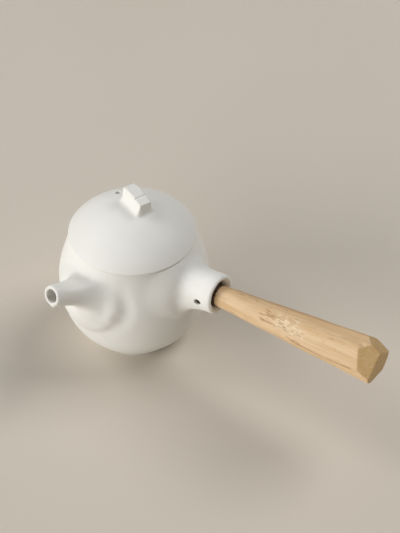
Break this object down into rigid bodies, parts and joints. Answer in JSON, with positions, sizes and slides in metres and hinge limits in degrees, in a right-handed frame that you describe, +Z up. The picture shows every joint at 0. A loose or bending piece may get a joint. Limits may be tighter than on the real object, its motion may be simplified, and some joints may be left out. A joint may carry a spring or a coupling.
{
  "type": "side-handled teapot",
  "caption": "White ceramic side-handled teapot with a pierced strainer behind its short spout, a lift-off domed lid with a bar knob, and a whittled wooden handle pegged into a socket.",
  "frame": {"origin": "centre of the flat base, on the axis of the pot", "axes": "+Z up along the axis of the pot, +X under the handle, the spout points towards -Y"},
  "size_m": [0.2326, 0.1223, 0.115],
  "materials": {
    "white_clay": "matte white, unglazed to the touch",
    "handle_wood": "bare knife-cut light wood",
    "peg_bamboo": "bare bamboo, darkened"
  },
  "bodies": {
    "pot": {"pot_body": "white_clay", "spout": "white_clay", "strainer": "white_clay", "handle_socket": "white_clay"},
    "lid": {"lid": "white_clay", "lid_knob": "white_clay"},
    "handle": {"handle": "handle_wood"},
    "peg": {"handle_peg": "peg_bamboo"}
  },
  "joints": [
    {"name": "lid_lift", "type": "slide", "parent": "pot", "child": "lid", "axis": [0, 0, 1], "range_m": [0, 0.09]},
    {"name": "handle_draw", "type": "slide", "parent": "pot", "child": "handle", "axis": [0.9952, 0, 0.0976], "range_m": [0, 0.03]},
    {"name": "peg_draw", "type": "slide", "parent": "pot", "child": "peg", "axis": [0, -1, 0], "range_m": [0, 0.015]}
  ]
}
